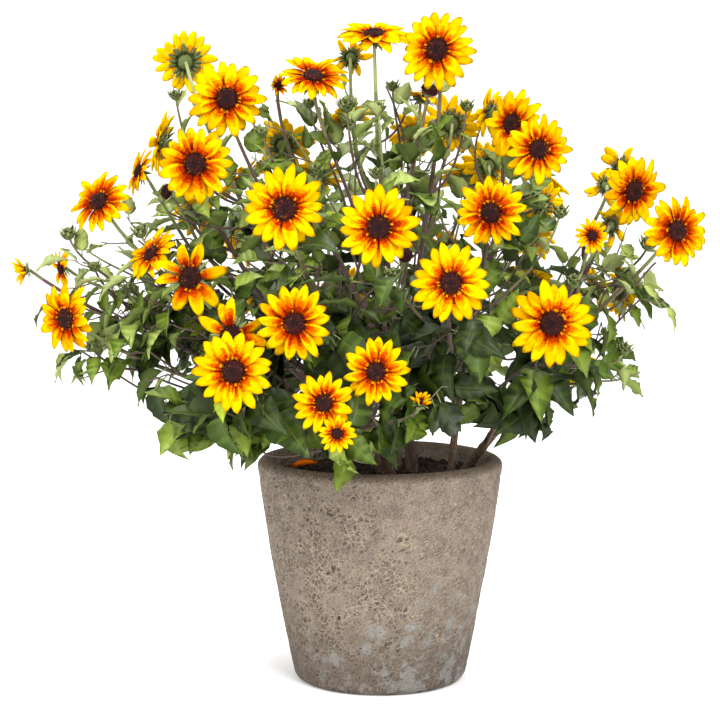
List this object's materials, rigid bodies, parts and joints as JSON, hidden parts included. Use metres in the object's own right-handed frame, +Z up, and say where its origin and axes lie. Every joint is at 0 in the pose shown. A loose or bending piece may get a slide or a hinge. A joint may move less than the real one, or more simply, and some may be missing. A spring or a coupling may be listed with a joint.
{
  "type": "potted sunflower plant",
  "caption": "Branching sunflower plant with yellow and red-brown blooms and hanging leaves, rooted in soil in a tapered weathered cement pot with a flat base.",
  "frame": {"origin": "middle of the pot's flat underside", "axes": "+Z up, -Y towards the side with the most blooms, +X to that side's right"},
  "size_m": [0.7753, 0.6353, 0.7613],
  "materials": {
    "pot": "weathered matte cement, crazed and pitted",
    "soil": "crumbly dark potting soil",
    "stem": "hairy brown to green bark",
    "foliage": "matte leaves and satin petals"
  },
  "bodies": {
    "root": {"pot": "pot", "soil": "soil", "main_stem": "stem", "left_stem": "stem", "front_stem": "stem", "green_stem": "stem", "right_stem": "stem", "back_stem": "stem", "top_left_bough": "stem", "back_top_bough": "stem", "top_right_bough": "stem", "top_bough": "stem", "far_left_low_bough": "stem", "far_left_bough": "stem", "left_bough": "stem", "left_upper_bough": "stem", "left_top_bough": "stem", "front_low_bough": "stem", "front_low_left_bough": "stem", "front_left_bough": "stem", "front_upper_bough": "stem", "front_upper_left_bough": "stem", "front_right_bough": "stem", "front_right_upper_bough": "stem", "right_top_bough": "stem", "right_low_bough": "stem", "back_right_low_bough": "stem", "far_right_bough": "stem", "right_upper_bough": "stem", "back_low_left_bough": "stem", "back_middle_bough": "stem", "back_left_bough": "stem", "back_right_bough": "stem", "top_left": "foliage", "back_top": "foliage", "top_right": "foliage", "top": "foliage", "far_left_low": "foliage", "far_left": "foliage", "left": "foliage", "left_upper": "foliage", "left_top": "foliage", "front_low": "foliage", "front_low_left": "foliage", "front_left": "foliage", "front_upper": "foliage", "front_upper_left": "foliage", "front_right": "foliage", "front_right_upper": "foliage", "right_top": "foliage", "right_low": "foliage", "back_right_low": "foliage", "far_right": "foliage", "right_upper": "foliage", "back_low_left": "foliage", "back_middle": "foliage", "back_left": "foliage", "back_right": "foliage"}
  },
  "joints": []
}
